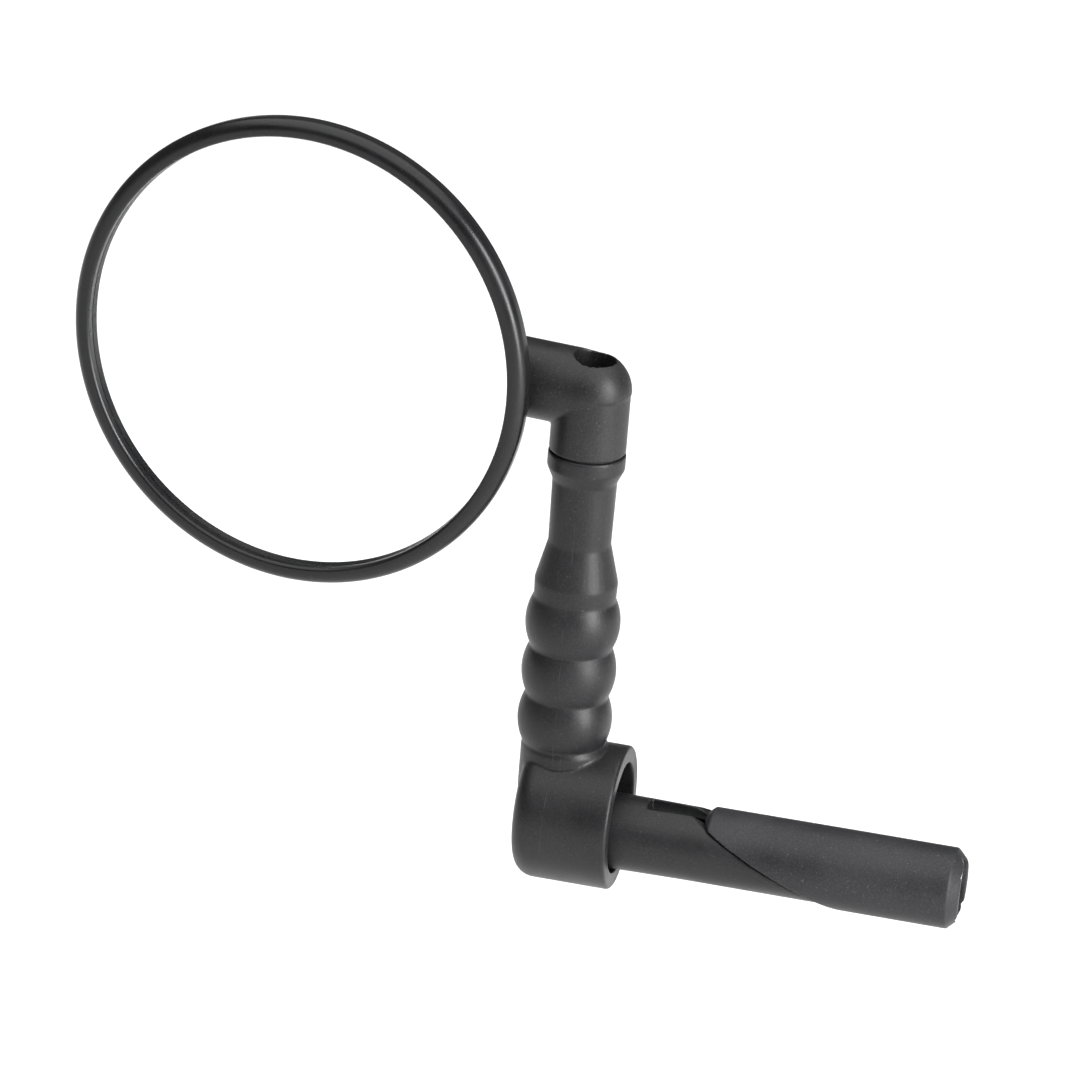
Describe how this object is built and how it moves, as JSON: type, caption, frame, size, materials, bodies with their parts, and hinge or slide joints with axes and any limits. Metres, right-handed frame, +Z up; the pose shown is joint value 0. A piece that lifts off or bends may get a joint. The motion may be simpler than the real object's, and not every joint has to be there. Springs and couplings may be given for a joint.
{
  "type": "bike mirror",
  "caption": "Bar-end bike mirror: a round convex mirror on a swivelling elbow, a ribbed arm, and a wedge-expander plug that grips inside the end of a handlebar.",
  "frame": {"origin": "centre of the cup's open rim, on the cup's axis, where the rim meets the end face of the bar", "axes": "+X along the plug, out of the cup and into the bar; +Z up the arm; the mirror faces -Y"},
  "size_m": [0.1617, 0.025, 0.1304],
  "materials": {
    "moulded_plastic": "fine matt spark texture",
    "wedge_plastic": "matt",
    "rim_plastic": "satin",
    "mirror": "polished, back-silvered convex glass",
    "zinc_steel": "zinc plated",
    "black_steel": "black oxide",
    "insert_brass": "machined",
    "washer_nylon": "natural moulded",
    "pad_foam": "closed-cell foam with adhesive faces"
  },
  "bodies": {
    "arm": {"arm": "moulded_plastic", "threaded_insert": "insert_brass", "bolt_washer": "zinc_steel"},
    "wedge": {"expander_wedge": "wedge_plastic"},
    "bolt": {"expander_bolt": "zinc_steel"},
    "nut": {"wedge_nut": "zinc_steel"},
    "head": {"elbow": "moulded_plastic", "friction_washer": "washer_nylon", "lock_washer": "zinc_steel", "elbow_screws": "zinc_steel", "back_shell": "moulded_plastic", "mirror_pad": "pad_foam", "mirror_glass": "mirror", "bezel": "rim_plastic"},
    "pivot_screw": {"pivot_screw": "black_steel"}
  },
  "joints": [
    {"name": "bolt_turn", "type": "hinge", "parent": "arm", "child": "bolt", "pos_m": [0, 0, -0.0008], "axis": [1, 0, 0], "range_deg": [0, 4070]},
    {"name": "nut_travel", "type": "slide", "parent": "arm", "child": "nut", "axis": [-1, 0, 0], "range_m": [0, 0.00792]},
    {"name": "wedge_climb", "type": "slide", "parent": "arm", "child": "wedge", "axis": [-0.9015, 0, 0.4329], "range_m": [0, 0.00878]},
    {"name": "head_swivel", "type": "hinge", "parent": "arm", "child": "head", "pos_m": [-0.0113, 0, 0.07], "axis": [0, 0, 1], "continuous": true},
    {"name": "pivot_screw_turn", "type": "hinge", "parent": "arm", "child": "pivot_screw", "pos_m": [-0.0113, 0, 0.07], "axis": [0, 0, 1], "range_deg": [0, 360]}
  ],
  "couplings": [
    {"joint": "bolt_turn", "follows": "wedge_climb", "rad_per_m": 8091.4},
    {"joint": "nut_travel", "follows": "wedge_climb", "ratio": 0.90146}
  ]
}
